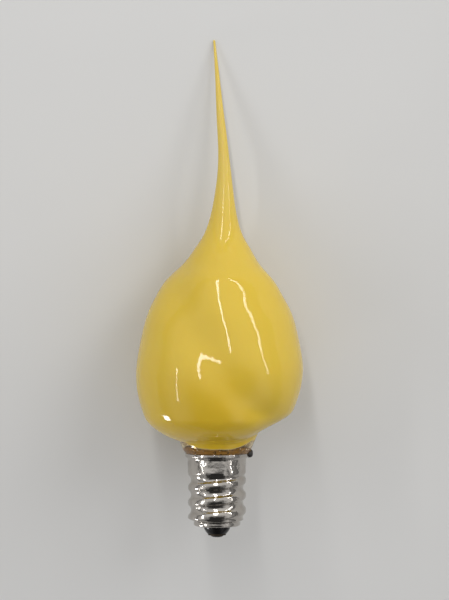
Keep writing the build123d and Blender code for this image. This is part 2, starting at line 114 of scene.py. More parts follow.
# Each with its depth and half its width
FOLDS = [(FRONT_FOLD, 1.3, 4.2), (LEFT_FOLD, 1.1, 3.8), (UNDER_FOLD, 1.1, 3.8)]
FOLD_TOP = 1.08
FOLD_FADE = 0.16
# Lower end of the coat: a thin skin on the neck, then a round ledge that starts higher at two
# angles, given as angle, rise and width in degrees
SKIN = 0.65
LEDGE_HEIGHT = 2.35
LEDGE_ROUND = 5.0
LEDGE_SOFTNESS = 0.06
LEDGE_FULLNESS = 0.7
LEDGE_END = 0.3
LEDGE_RISES = [(0, 2.85, 38.0), (222, 2.0, 30.0)]
# Roundness of the edge where the belly lies flat on the floor
SETTLE_SOFTNESS = 0.05


# Curves

def smooth_curve(points, first=None, last=None, samples=600):
    """Many points along one smooth curve through a few, with set directions at its ends or none."""
    p = np.array(points, dtype=float)
    h = np.linalg.norm(np.diff(p, axis=0), axis=1)
    slopes = np.diff(p, axis=0) / h[:, None]
    count = len(p)
    matrix = np.zeros((count, count))
    right = np.zeros_like(p)
    for i in range(1, count - 1):
        matrix[i, i - 1:i + 2] = h[i], 2 * (h[i - 1] + h[i]), h[i - 1]
        right[i] = 3 * (h[i] * slopes[i - 1] + h[i - 1] * slopes[i])
    ends = ((0, 1, slopes[0], first), (count - 1, count - 2, slopes[-1], last))
    for row, near, slope, held in ends:
        if held is None:
            matrix[row, row], matrix[row, near] = 2, 1
            right[row] = 3 * slope
        else:
            matrix[row, row] = 1
            right[row] = np.array(held, dtype=float)
    m = np.linalg.solve(matrix, right)
    along = np.concatenate(([0], np.cumsum(h)))
    t = np.linspace(0, along[-1], samples)
    i = np.clip(np.searchsorted(along, t, side="right") - 1, 0, count - 2)
    step = h[i][:, None]
    s = ((t - along[i]) / h[i])[:, None]
    return ((2 * s ** 3 - 3 * s ** 2 + 1) * p[i] + (s ** 3 - 2 * s ** 2 + s) * step * m[i]
            + (3 * s ** 2 - 2 * s ** 3) * p[i + 1] + (s ** 3 - s ** 2) * step * m[i + 1])


def height_of(place):
    """Height of a place: 0 at the cap's rim, 1 at the tip of the glass, 2 at the tail's tip."""
    if place <= 1:
        return RIM_HEIGHT + place * (GLASS_TIP - RIM_HEIGHT)
    return GLASS_TIP + (place - 1) * (TAIL_TIP - GLASS_TIP)


def read_curve(curve, heights):
    """The across value of a climbing curve at each height."""
    return np.interp(heights, curve[:, 1], curve[:, 0])


def glass_curve():
    """Outside of the glass from the top of its neck to its tip, as (radius, height) points."""
    span = GLASS_TIP - NECK_TOP
    throat = NECK_RADIUS + THROAT_SHARE * (GLASS_RADIUS - NECK_RADIUS)
    points = [(NECK_RADIUS, NECK_TOP), (RIM_RADIUS - SHEET - MOUTH_GAP, RIM_HEIGHT)]
    points.append((throat, NECK_TOP + THROAT_PLACE * span))
    points += [(share * GLASS_RADIUS, NECK_TOP + place * span) for place, share in GLASS_SHAPE]
    return smooth_curve(points, first=(0, 1), last=(-1, 0))


GLASS_CURVE = glass_curve()


def width_curve():
    """Half the coat's width up the lamp."""
    body = []
    for place, thickness in BODY_THICKNESS:
        height = height_of(place)
        body.append((float(read_curve(GLASS_CURVE, height)) + thickness, height))
    return smooth_curve(body + [(radius, height_of(place)) for place, radius in TAIL_RADIUS])


def curve_up(table):
    return smooth_curve([(value, height_of(place)) for place, value in table])


def bell(angles, centre, width):
    """A smooth rise round one angle, 1 at its middle."""
    away = (angles - centre + 180) % 360 - 180
    return np.exp(-(away / width) ** 2)


def coat_radius(heights, angles):
    """Radius of the coat at each height (rows) and angle (columns), and its sideways shift."""
    half = read_curve(width_curve(), heights)[:, None]
    place = np.where(heights <= GLASS_TIP, (heights - RIM_HEIGHT) / (GLASS_TIP - RIM_HEIGHT),
                     1 + (heights - GLASS_TIP) / (TAIL_TIP - GLASS_TIP))[:, None]
    radius = half + 0 * angles[None, :]
    fade = np.clip((FOLD_TOP - place) / FOLD_FADE, 0, 1)
    fade = fade * fade * (3 - 2 * fade)
    for table, depth, width in FOLDS:
        valley = read_curve(curve_up(table), heights)[:, None]
        away = (angles[None, :] - valley + 180) % 360 - 180
        across = np.radians(away) * half * math.cos(math.pi / 4)
        radius = radius - depth * fade * np.exp(-(across / width) ** 2)
    rise = sum(height * bell(angles, centre, width) for centre, height, width in LEDGE_RISES)
    rise = rise[None, :]
    level = (heights[:, None] - RIM_HEIGHT - LEDGE_HEIGHT - rise) / (LEDGE_ROUND - rise / 2)
    level = np.clip(level, 0, 1)
    level = level * level * (1 + LEDGE_SOFTNESS) / (level + LEDGE_SOFTNESS)
    share = (1 - (1 - level) ** 2) ** LEDGE_FULLNESS
    skin = read_curve(GLASS_CURVE, heights)[:, None] + SKIN
    radius = np.where(place < LEDGE_END, skin + (radius - skin) * share, radius)
    return radius, read_curve(curve_up(SIDE_SHIFT), heights)[:, None]


def coat_points(heights, angles):
    """Grid of points on the outside of the coat, kept above the floor that it lies on."""
    radius, shift = coat_radius(heights, angles)
    to_end = np.clip((TAIL_TIP - heights) / TAIL_END_RADIUS, 0, 1)[:, None]
    radius = radius * np.sqrt(1 - (1 - to_end) ** 2)
    turn = np.radians(angles)[None, :]
    x = shift + radius * np.cos(turn)
    z = radius * np.sin(turn)
    ground = -(TAIL_TIP - heights[:, None]) * math.tan(TILT) - TAIL_END_RADIUS
    above = z - ground
    settled = ground + (above + np.sqrt(above ** 2 + SETTLE_SOFTNESS ** 2)) / 2
    z = np.where(heights[:, None] < GLASS_TIP, settled, z)
    return np.stack([x, np.broadcast_to(heights[:, None], x.shape), z], axis=-1)


# Meshes

def place_mesh(name, points, faces, material):
    """A smooth mesh object from points in the lamp's frame. Its place is in its vertices."""
    mesh = bpy.data.meshes.new(name)
    mesh.from_pydata([LAMP @ Vector(point) for point in points], [], faces)
    mesh.validate()
    mesh.update()
    mesh.polygons.foreach_set("use_smooth", [True] * len(mesh.polygons))
    piece = bpy.data.objects.new(name, mesh)
    bpy.context.scene.collection.objects.link(piece)
    mesh.materials.append(material)
    return piece


def tube_faces(rings, around):
    """Quads between rings of points that follow one another, closed round the lamp."""
    faces = []
    for ring in range(rings - 1):
        low = ring * around
        high = low + around
        for i in range(around):
            j = (i + 1) % around
            faces.append((low + i, high + i, high + j, low + j))
    return faces


def ring_points(radius, height, turn):
    """Points round the lamp's axis, one at each angle."""
    return np.stack([radius * np.cos(turn), 0 * turn + height, radius * np.sin(turn)], axis=-1)


def finish_piece(piece, slot, *nodes):
    """Give a piece its body and hide the nodes that it stands for. The slot is not used."""
    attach(piece, BODY)
    if nodes:
        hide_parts(*nodes)
    return piece


# Node trees

class Graph:
    """Adds nodes to a tree and joins them, with plain numbers going to sockets as they are."""

    def __init__(self, tree):
        self.tree = tree
        self.count = 0

    def node(self, kind, **settings):
        made = self.tree.nodes.new(kind)
        made.location = (220 * (self.count % 8), -260 * (self.count // 8))
        self.count += 1
        for name, value in settings.items():
            setattr(made, name, value)
        return made

    def join(self, value, socket):
        if isinstance(value, bpy.types.NodeSocket):
            self.tree.links.new(value, socket)
        else:
            socket.default_value = value

    def math(self, operation, a, b=0.0, c=0.0, clamp=False):
        made = self.node("ShaderNodeMath", operation=operation, use_clamp=clamp)
        for value, socket in zip((a, b, c), made.inputs):
            self.join(value, socket)
        return made.outputs[0]

    def add(self, a, b, clamp=False):
        return self.math("ADD", a, b, clamp=clamp)

    def subtract(self, a, b):
        return self.math("SUBTRACT", a, b)

    def multiply(self, a, b):
        return self.math("MULTIPLY", a, b)

    def divide(self, a, b):
        return self.math("DIVIDE", a, b)

    def ramp(self, value, low, high, start=0.0, end=1.0, smooth=True):
        """Value between low and high carried over to between start and end."""
        kind = "SMOOTHSTEP" if smooth else "LINEAR"
        made = self.node("ShaderNodeMapRange", interpolation_type=kind)
        parts = {"Value": value, "From Min": low, "From Max": high, "To Min": start, "To Max": end}
        for name, part in parts.items():
            self.join(part, made.inputs[name])
        return made.outputs["Result"]

    def mix(self, share, first, second):
        """Colour between two."""
        made = self.node("ShaderNodeMix", data_type="RGBA")
        self.join(share, made.inputs["Factor"])
        self.join(first, made.inputs[6])
        self.join(second, made.inputs[7])
        return made.outputs[2]

    def noise(self, place, scale, detail=2.0, roughness=0.5):
        made = self.node("ShaderNodeTexNoise")
        self.join(place, made.inputs["Vector"])
        made.inputs["Scale"].default_value = scale
        made.inputs["Detail"].default_value = detail
        made.inputs["Roughness"].default_value = roughness
        return made.outputs["Fac"]


def opaque(colour, share=1.0):
    """A colour, or a darker share of it, with full alpha."""
    return tuple(share * part for part in colour) + (1,)


class Finish(Graph):
    """A material round one Principled shader, with places read in the lamp's own millimetres."""

    def __init__(self, name, **sockets):
        self.material = bpy.data.materials.new(name)
        self.material.use_nodes = True
        super().__init__(self.material.node_tree)
        self.tree.nodes.clear()
        self.shader = self.node("ShaderNodeBsdfPrincipled")
        output = self.node("ShaderNodeOutputMaterial")
        self.tree.links.new(self.shader.outputs["BSDF"], output.inputs["Surface"])
        coordinates = self.node("ShaderNodeTexCoord")
        turned = self.node("ShaderNodeMapping", vector_type="TEXTURE")
        self.join(coordinates.outputs["Object"], turned.inputs["Vector"])
        turned.inputs["Location"].default_value = TIP
        turned.inputs["Rotation"].default_value = (-TILT, 0, 0)
        turned.inputs["Scale"].default_value = (MM, MM, MM)
        self.place = turned.outputs["Vector"]
        for socket, value in sockets.items():
            self.set(socket.replace("_", " ").title().replace("Ior", "IOR"), value)

    def set(self, socket, value):
        self.join(value, self.shader.inputs[socket])

    def across(self, axis):
        """One coordinate of the place: 0 to the right, 1 up the lamp, 2 to its top side."""
        parts = self.node("ShaderNodeSeparateXYZ")
        self.join(self.place, parts.inputs["Vector"])
        return parts.outputs[axis]

    def bump(self, height, distance):
        """Relief of so many millimetres."""
        made = self.node("ShaderNodeBump")
        made.inputs["Strength"].default_value = 1.0
        made.inputs["Distance"].default_value = distance * MM
        self.join(height, made.inputs["Height"])
        self.set("Normal", made.outputs["Normal"])


def silicone_finish(settings):
    """Glossy yellow silicone with painted shade low down, and clear below its dipped edge."""
    finish = Finish("dipped_silicone", ior=1.41, subsurface_scale=1.6 * MM)
    up = finish.across(1)
    right = finish.across(0)
    # Painted shade: deeper yellow low down and near the middle of the belly, mixed with soft clouds
    # of uneven tone
    low = finish.ramp(up, 40.0, 23.0)
    middle = finish.ramp(finish.math("ABSOLUTE", finish.add(right, 1.5)), 16.0, 0.0)
    cloud = finish.multiply(finish.subtract(finish.noise(finish.place, 0.09, 3.0), 0.5), 0.5)
    shade_and_clouds = finish.add(finish.multiply(low, middle), cloud, clamp=True)
    colour = finish.mix(shade_and_clouds, opaque(settings.silicone_colour), opaque(settings.painted_shade_colour))
    tail = finish.ramp(up, 55.0, 75.0)
    colour = finish.mix(tail, colour, opaque(settings.tail_colour))
    # The dipped edge wanders, and hangs lower on the top side
    wander = finish.multiply(finish.subtract(finish.noise(finish.place, 0.35), 0.5), 0.5)
    hang = finish.ramp(finish.across(2), 3.0, 7.0, 0.0, 1.5)
    edge = finish.add(up, finish.add(wander, hang))
    clear = finish.ramp(edge, settings.clear_edge + 0.25, settings.clear_edge - 0.25)
    finish.set("Base Color", finish.mix(clear, colour, opaque(settings.clear_colour)))
    finish.set("Transmission Weight", clear)
    finish.set("Subsurface Weight", finish.subtract(0.25, finish.multiply(clear, 0.25)))
    finish.shader.inputs["Subsurface Radius"].default_value = (1.0, 0.65, 0.15)
    finish.set("Roughness", finish.ramp(finish.noise(finish.place, 0.6, 4.0), 0.3, 0.7, 0.03, 0.06))
    finish.bump(finish.noise(finish.place, 0.22, 3.0, 0.4), 0.12)
    return finish.material


def nickel_finish():
    """Nickel-plated sheet with soft handling marks."""
    finish = Finish("nickel_plate", metallic=1.0)
    blotch = finish.noise(finish.place, 0.5, 4.0)
    finish.set("Base Color", finish.mix(blotch, (0.60, 0.57, 0.53, 1), (0.36, 0.33, 0.30, 1)))
    wear = finish.noise(finish.place, 1.4, 5.0)
    finish.set("Roughness", finish.ramp(wear, 0.3, 0.75, 0.05, 0.13))
    finish.bump(finish.noise(finish.place, 0.6, 3.0), 0.16)
    return finish.material


def clear_glass_finish():
    finish = Finish("clear_glass", transmission_weight=1.0, ior=1.5, roughness=0.01)
    faint = finish.noise(finish.place, 0.12)
    finish.set("Base Color", finish.mix(faint, (0.97, 0.98, 0.97, 1), (0.93, 0.96, 0.94, 1)))
    return finish.material


def cement_finish(name, amber):
    """Baked amber cement with dark grains."""
    finish = Finish(name, ior=1.5)
    grain = finish.noise(finish.place, 1.6, 5.0, 0.7)
    speck = finish.ramp(finish.noise(finish.place, 2.4, 1.0), 0.62, 0.7)
    body = finish.mix(grain, opaque(amber), opaque(amber, 0.4))
    finish.set("Base Color", finish.mix(speck, body, (0.012, 0.009, 0.006, 1)))
    finish.set("Roughness", finish.ramp(grain, 0.3, 0.7, 0.25, 0.6))
    finish.bump(grain, 0.15)
    return finish.material


def black_glass_finish():
    finish = Finish("black_glass", ior=1.45, specular_ior_level=0.3)
    sheen = finish.noise(finish.place, 0.8, 3.0)
    finish.set("Base Color", finish.mix(sheen, (0.003, 0.003, 0.004, 1), (0.012, 0.011, 0.010, 1)))
    finish.set("Roughness", finish.ramp(sheen, 0.3, 0.7, 0.12, 0.3))
    finish.bump(sheen, 0.05)
    return finish.material


def metal_finish(name, bright, dark, smooth, rough, grain=1.5, depth=0.03):
    """A metal between two colours and two roughnesses, with a fine grain."""
    finish = Finish(name, metallic=1.0)
    blotch = finish.noise(finish.place, grain, 4.0)
    finish.set("Base Color", finish.mix(blotch, opaque(bright), opaque(dark)))
    finish.set("Roughness", finish.ramp(blotch, 0.3, 0.7, smooth, rough))
    finish.bump(blotch, depth)
    return finish.material


def coat_node(name, material):
    """Give a frame node its finish."""
    mesh = frame["nodes"][name].data
    mesh.materials.clear()
    mesh.materials.append(material)


# Geometry Nodes

class Shape(Graph):
    """A Geometry Nodes tree with named sizes, ending in a placed and finished mesh."""

    def __init__(self, name):
        super().__init__(bpy.data.node_groups.new(name, "GeometryNodeTree"))
        self.tree.interface.new_socket("Geometry", in_out="OUTPUT",
                                       socket_type="NodeSocketGeometry")
        self.source = self.node("NodeGroupInput")
        self.values = {}

    def size(self, name, value, kind="NodeSocketFloat"):
        """A named input, read where it is used."""
        socket = self.tree.interface.new_socket(name, in_out="INPUT", socket_type=kind)
        self.values[socket.identifier] = value
        return self.source.outputs[name]

    def place_of(self, x, y, z):
        """A place from its three coordinates."""
        made = self.node("ShaderNodeCombineXYZ")
        for value, socket in zip((x, y, z), made.inputs):
            self.join(value, socket)
        return made.outputs[0]

    def place_round(self, radius, height, angle):
        """A place round the lamp's axis."""
        return self.place_of(self.multiply(radius, self.math("COSINE", angle)), height,
                             self.multiply(radius, self.math("SINE", angle)))

    def move(self, geometry, place):
        """The geometry with its points moved to their places."""
        moved = self.node("GeometryNodeSetPosition")
        self.join(geometry, moved.inputs["Geometry"])
        self.join(place, moved.inputs["Position"])
        return moved.outputs[0]

    def finish(self, geometry, material):
        """Realize, place in the row's frame and set the material."""
        real = self.node("GeometryNodeRealizeInstances")
        self.join(geometry, real.inputs["Geometry"])
        placed = self.node("GeometryNodeTransform")
        self.join(real.outputs[0], placed.inputs["Geometry"])
        placed.inputs["Translation"].default_value = TIP
        placed.inputs["Rotation"].default_value = (-TILT, 0, 0)
        placed.inputs["Scale"].default_value = (MM, MM, MM)
        smooth = self.node("GeometryNodeSetShadeSmooth")
        self.join(placed.outputs[0], smooth.inputs["Geometry"])
        dressed = self.node("GeometryNodeSetMaterial")
        self.join(smooth.outputs[0], dressed.inputs["Geometry"])
        self.join(self.size("Material", material, "NodeSocketMaterial"), dressed.inputs["Material"])
        out = self.node("NodeGroupOutput")
        self.join(dressed.outputs[0], out.inputs[0])

    def bake(self, name, wall=0.0):
        """The tree's result as a plain mesh object, with a wall inward where one is given."""
        holder = bpy.data.objects.new(name + "_tree", bpy.data.meshes.new(name + "_tree"))
        bpy.context.scene.collection.objects.link(holder)
        modifier = holder.modifiers.new("shape", "NODES")
        modifier.node_group = self.tree
        for identifier, value in self.values.items():
            modifier[identifier] = value
        if wall:
            solidify = holder.modifiers.new("wall", "SOLIDIFY")
            solidify.thickness = wall * MM
            solidify.offset = -1
        evaluated = holder.evaluated_get(bpy.context.evaluated_depsgraph_get())
        mesh = bpy.data.meshes.new_from_object(evaluated)
        mesh.name = name
        bpy.data.objects.remove(holder)
        piece = bpy.data.objects.new(name, mesh)
        bpy.context.scene.collection.objects.link(piece)
        return piece


# Heights on the shell, from its floor, between which its form changes
END_SLOPE = (0.8, 1.6)
RUN_OUT = (9.5, 10.9)
RIM_FLARE = (13.3, 14.05)
DENTS_START = (9.6, 11.0)
DENTS_END = (13.6, 12.4)
# Shares of the sheet's course from its hole: flat floor, then the rolled end, then the side
FLOOR_COURSE = 0.05
ROLL_COURSE = 0.09


def rolled_shell_tree(sizes, material):
    """The cap's sheet: floor ring, rolled end, right-hand knuckle thread, collar and rim."""
    shape = Shape("rolled_shell")
    crest = shape.size("Crest radius", sizes.crest_radius)
    depth = shape.size("Thread depth", sizes.thread_depth)
    pitch = shape.size("Pitch", sizes.thread_pitch)
    first = shape.size("First crest", 2.4)
    lip = shape.size("End lip radius", 4.7)
    corner = shape.size("End lip round", 0.4)
    hole = shape.size("Hole radius", 2.8)
    flare = shape.size("Rim flare", 0.5)
    dent = shape.size("Dent depth", sizes.dent_depth)
    around = shape.size("Around", 200, "NodeSocketInt")
    along = shape.size("Along", 170, "NodeSocketInt")
    grid = shape.node("GeometryNodeMeshGrid")
    grid.inputs["Size X"].default_value = 1
    grid.inputs["Size Y"].default_value = 1
    shape.join(around, grid.inputs["Vertices X"])
    shape.join(along, grid.inputs["Vertices Y"])
    split = shape.node("ShaderNodeSeparateXYZ")
    shape.join(shape.node("GeometryNodeInputPosition").outputs[0], split.inputs[0])
    turn = shape.add(split.outputs[0], 0.5)
    course = shape.add(split.outputs[1], 0.5)
    angle = shape.multiply(turn, 2 * math.pi)
    bend = shape.ramp(course, FLOOR_COURSE, ROLL_COURSE, 0, math.pi / 2, smooth=False)
    floor_edge = shape.subtract(lip, corner)
    floor_radius = shape.ramp(course, 0, FLOOR_COURSE, hole, floor_edge, smooth=False)
    lip_round = shape.add(floor_radius, shape.multiply(corner, shape.math("SINE", bend)))
    side_length = shape.subtract(SHELL_LENGTH, corner)
    climb = shape.ramp(course, ROLL_COURSE, 1, 0, side_length, smooth=False)
    rolled = shape.multiply(corner, shape.subtract(1, shape.math("COSINE", bend)))
    height = shape.add(climb, rolled)
    # Shares of a turn from the crest: the crest is on the top side at the first crest's height
    phase = shape.divide(shape.subtract(height, first), pitch)
    phase = shape.add(phase, shape.subtract(turn, 0.25))
    # Knuckles: round crests and round troughs of one arc
    quarter = shape.multiply(pitch, 0.25)
    half_depth = shape.multiply(depth, 0.5)
    squares = shape.add(shape.math("POWER", quarter, 2), shape.math("POWER", half_depth, 2))
    arc = shape.divide(squares, depth)
    offset = shape.subtract(shape.math("WRAP", shape.add(phase, 0.5), 1, 0), 0.5)
    offset = shape.multiply(shape.math("ABSOLUTE", offset), pitch)
    arc_square = shape.math("POWER", arc, 2)
    on_crest = shape.math("SQRT", shape.subtract(arc_square, shape.math("POWER", offset, 2)))
    on_crest = shape.add(shape.subtract(crest, arc), on_crest)
    from_root = shape.subtract(shape.multiply(quarter, 2), offset)
    in_root = shape.math("SQRT", shape.subtract(arc_square, shape.math("POWER", from_root, 2)))
    in_root = shape.subtract(shape.add(shape.subtract(crest, depth), arc), in_root)
    low = shape.math("GREATER_THAN", offset, quarter)
    thread = shape.add(on_crest, shape.multiply(low, shape.subtract(in_root, on_crest)))
    # Round the end, the run-out into the collar and the rim off from the thread
    slope = shape.ramp(height, *END_SLOPE, lip, crest)
    side = shape.math("SMOOTH_MIN", thread, slope, 0.25)
    root = shape.subtract(crest, depth)
    run_out = shape.ramp(height, *RUN_OUT, root, crest)
    below = shape.multiply(shape.math("LESS_THAN", height, RUN_OUT[0]), -10)
    side = shape.math("SMOOTH_MAX", side, shape.add(run_out, below), 0.2)
    side = shape.add(side, shape.ramp(height, *RIM_FLARE, 0, flare))
    beyond = shape.subtract(lip_round, lip)
    radius = shape.add(side, beyond)
    on_collar = shape.multiply(shape.ramp(height, *DENTS_START), shape.ramp(height, *DENTS_END))
    # Shallow dents from crimping, round the collar alone
    spot = shape.place_round(1, shape.multiply(height, 0.12), angle)
    ripple = shape.subtract(shape.noise(spot, 2.6, 1.0), 0.5)
    inward = shape.multiply(shape.multiply(ripple, dent), on_collar)
    radius = shape.add(radius, inward)
    place = shape.place_round(radius, shape.add(height, FLOOR_HEIGHT), angle)
    closed = shape.node("GeometryNodeMergeByDistance")
    shape.join(shape.move(grid.outputs["Mesh"], place), closed.inputs["Geometry"])
    closed.inputs["Distance"].default_value = 0.001
    flipped = shape.node("GeometryNodeFlipFaces")
    shape.join(closed.outputs[0], flipped.inputs["Mesh"])
    shape.finish(flipped.outputs[0], material)
    return shape


def filament_tree(material):
    """The coiled wire between the leads, bowed up in the middle."""
    shape = Shape("coiled_filament")
    span = shape.size("Span", 8.4)
    rise = shape.size("Rise", 1.4)
    turns = shape.size("Turns", 64.0)
    coil = shape.size("Coil radius", 0.16)
    wire = shape.size("Wire radius", 0.04)
    foot = shape.size("Height of its ends", 32.8)
    spiral = shape.node("GeometryNodeCurveSpiral")
    spiral.inputs["Resolution"].default_value = 12
    shape.join(turns, spiral.inputs["Rotations"])
    shape.join(coil, spiral.inputs["Start Radius"])
    shape.join(coil, spiral.inputs["End Radius"])
    shape.join(span, spiral.inputs["Height"])
    section = shape.node("GeometryNodeCurvePrimitiveCircle")
    section.inputs["Resolution"].default_value = 6
    shape.join(wire, section.inputs["Radius"])
    tube = shape.node("GeometryNodeCurveToMesh")
    shape.join(spiral.outputs[0], tube.inputs["Curve"])
    shape.join(section.outputs[0], tube.inputs["Profile Curve"])
    tube.inputs["Fill Caps"].default_value = True
    split = shape.node("ShaderNodeSeparateXYZ")
    shape.join(shape.node("GeometryNodeInputPosition").outputs[0], split.inputs[0])
    share = shape.subtract(shape.divide(shape.multiply(split.outputs[2], 2), span), 1)
    bow = shape.multiply(rise, shape.subtract(1, shape.multiply(share, share)))
    place = shape.place_of(shape.subtract(split.outputs[2], shape.multiply(span, 0.5)),
                           shape.add(shape.add(foot, bow), split.outputs[1]), split.outputs[0])
    shape.finish(shape.move(tube.outputs[0], place), material)
    return shape


def bubble_tree(sizes, material):
    """Small air bubbles caught in the clear silicone at the neck."""
    low, high = RIM_HEIGHT + 0.3, sizes.clear_edge - 0.1
    shape = Shape("caught_bubbles")
    count = shape.size("Count", 46, "NodeSocketInt")
    seed = shape.size("Seed", 5, "NodeSocketInt")
    lowest = shape.size("Lowest", low)
    highest = shape.size("Highest", high)

    def within_skin(height):
        return float(read_curve(GLASS_CURVE, height)) + 0.7 * SKIN

    low_radius = shape.size("Radius at the lowest", within_skin(low))
    high_radius = shape.size("Radius at the highest", within_skin(high))
    line = shape.node("GeometryNodeMeshLine")
    shape.join(count, line.inputs["Count"])

    def chance(least, most, turn):
        made = shape.node("FunctionNodeRandomValue", data_type="FLOAT")
        shape.join(least, made.inputs[2])
        shape.join(most, made.inputs[3])
        shape.join(shape.add(seed, turn), made.inputs["Seed"])
        return made.outputs[1]

    height = chance(lowest, highest, 1)
    angle = chance(0.0, 2 * math.pi, 2)
    radius = shape.ramp(height, lowest, highest, low_radius, high_radius, smooth=False)
    scattered = shape.move(line.outputs[0], shape.place_round(radius, height, angle))
    ball = shape.node("GeometryNodeMeshIcoSphere")
    ball.inputs["Radius"].default_value = 1.0
    ball.inputs["Subdivisions"].default_value = 3
    spread = shape.node("GeometryNodeInstanceOnPoints")
    shape.join(scattered, spread.inputs["Points"])
    shape.join(ball.outputs[0], spread.inputs["Instance"])
    bubble = shape.math("POWER", chance(0.0, 1.0, 3), 2.0)
    shape.join(shape.math("MULTIPLY_ADD", bubble, 0.12, 0.06), spread.inputs["Scale"])
    shape.finish(spread.outputs[0], material)
    return shape


# Settings

class LampSilicone(bpy.types.PropertyGroup):
    silicone_colour: FloatVectorProperty(
        name="Silicone", description="Colour of the yellow silicone", subtype="COLOR",
        default=(0.65, 0.46, 0.055), min=0, max=1)
    # Painted shade: the deeper yellow painted on the low middle of the belly
    painted_shade_colour: FloatVectorProperty(
        name="Deep silicone", description="Colour low on the belly", subtype="COLOR",
        default=(0.60, 0.40, 0.028), min=0, max=1)
    tail_colour: FloatVectorProperty(
        name="Tail", description="Colour of the thin tail", subtype="COLOR",
        default=(0.66, 0.49, 0.10), min=0, max=1)
    clear_colour: FloatVectorProperty(
        name="Clear silicone", description="Tint of the clear silicone at the neck",
        subtype="COLOR", default=(0.84, 0.68, 0.40), min=0, max=1)
    clear_edge: FloatProperty(
        name="Clear edge", default=19.5, min=17.0, max=24.0,
        description="Height up the lamp below which the silicone is clear, in mm")
    around: IntProperty(
        name="Around", description="Faces round the silicone", default=192, min=48, max=256)


class LampCap(bpy.types.PropertyGroup):
    crest_radius: FloatProperty(
        name="Crest radius", description="Radius over the thread's crests, in mm", default=5.875,
        min=4.0, max=8.0)
    thread_depth: FloatProperty(
        name="Thread depth", description="Depth of the rolled thread, in mm", default=0.635,
        min=0.2, max=1.2)
    thread_pitch: FloatProperty(
        name="Thread pitch", description="Height of one turn of the thread, in mm", default=3.0,
        min=1.5, max=4.0)
    dent_depth: FloatProperty(
        name="Dents", description="Depth of the collar's dents, in mm", default=0.42,
        min=0.0, max=0.6)


class LampStage(bpy.types.PropertyGroup):
    floor_colour: FloatVectorProperty(
        name="Floor", description="Colour of the floor", subtype="COLOR",
        default=(0.66, 0.655, 0.645), min=0, max=1)
    sky: FloatProperty(
        name="Sky", description="Light from all round", default=0.38, min=0, max=2)
    mirrored: FloatProperty(
        name="Mirrored studio", description="Brightness of what metal and wet silicone mirror",
        default=0.85, min=0, max=2)
    key: FloatProperty(
        name="Key light", description="Power of the soft light from the right", default=1.15,
        min=0, max=20, unit="POWER")


# Operators

class LAMP_OT_silicone(bpy.types.Operator):
    """Pour the silicone coat over the glass"""
    bl_idname = "lamp.silicone"
    bl_label = "Silicone coat"

    def execute(self, context):
        settings = context.scene.lamp_silicone
        around = settings.around
        angles = np.arange(around) * 360 / around
        # The outside from the cap's rim up to the tail's tip
        low = np.arange(RIM_HEIGHT, 30, 0.3)
        body = np.arange(30, GLASS_TIP, 0.55)
        tail = np.arange(GLASS_TIP, TAIL_TIP - TAIL_END_RADIUS, 0.8)
        end = TAIL_TIP - TAIL_END_RADIUS * np.array([1.0, 0.6, 0.3, 0.1, 0.02])
        heights = np.concatenate([low, body, tail, end])
        outside = coat_points(heights, angles)
        # The hollow that the glass fills, from its tip down to the cap's rim
        gap = 0.05
        course = GLASS_CURVE[GLASS_CURVE[:, 1] > RIM_HEIGHT][::-12]
        course = course[course[:, 0] > 0.3]
        course = np.vstack([course, [read_curve(GLASS_CURVE, RIM_HEIGHT), RIM_HEIGHT]])
        turn = np.radians(angles)
        inside = [ring_points(radius + gap, height, turn) for radius, height in course]
        # One closed skin: hollow's top, hollow, rim, outside, tail's end
        rings = np.concatenate([np.array(inside), outside])
        points = [tuple(point) for ring in rings for point in ring]
        faces = tube_faces(len(rings), around)
        top = len(points)
        points.append((0, GLASS_TIP + gap, 0))
        faces += [(top, i, (i + 1) % around) for i in range(around)]
        last = (len(rings) - 1) * around
        end_point = len(points)
        points.append((float(outside[-1][:, 0].mean()), TAIL_TIP, 0))
        faces += [(end_point, last + (i + 1) % around, last + i) for i in range(around)]
        coat = place_mesh("silicone_skin", points, faces, silicone_finish(settings))
        finish_piece(coat, "silicone", "silicone_coat")
        return {"FINISHED"}


class LAMP_OT_cap(bpy.types.Operator):
    """Roll the cap's threaded shell and finish its insulator, contact and solder"""
    bl_idname = "lamp.cap"
    bl_label = "Screw cap"

    def execute(self, context):
        shell_tree = rolled_shell_tree(context.scene.lamp_cap, nickel_finish())
        finish_piece(shell_tree.bake("rolled_screw_shell", SHEET), "nickel", "screw_shell")
        coat_node("cap_insulator", black_glass_finish())
        coat_node("cap_cement", cement_finish("amber_cement", (0.42, 0.22, 0.03)))
        # Painted shade: the contact's brass is near black, as dark as the shaded end of the cap, in
        # place of bright brass
        shaded_contact_finish = metal_finish("tarnished_brass", (0.06, 0.045, 0.03), (0.03, 0.025, 0.02), 0.5, 0.7)
        coat_node("contact_plate", shaded_contact_finish)
        # Solder is given a near-black colour, far darker than bare solder
        solder = metal_finish("dull_solder", (0.12, 0.115, 0.11), (0.035, 0.03, 0.03), 0.35, 0.65,
                              grain=2.2, depth=0.12)
        coat_node("contact_solder", solder)
        coat_node("rim_solder", solder)
        return {"FINISHED"}


# Section of the cement bead at the neck: share of its creep up the glass, distance from the glass
NECK_BEAD = [
    (0.0, 0.03), (0.0, 0.36), (0.3, 0.38), (0.6, 0.32), (0.85, 0.2), (0.97, 0.08), (1.0, 0.03),
]


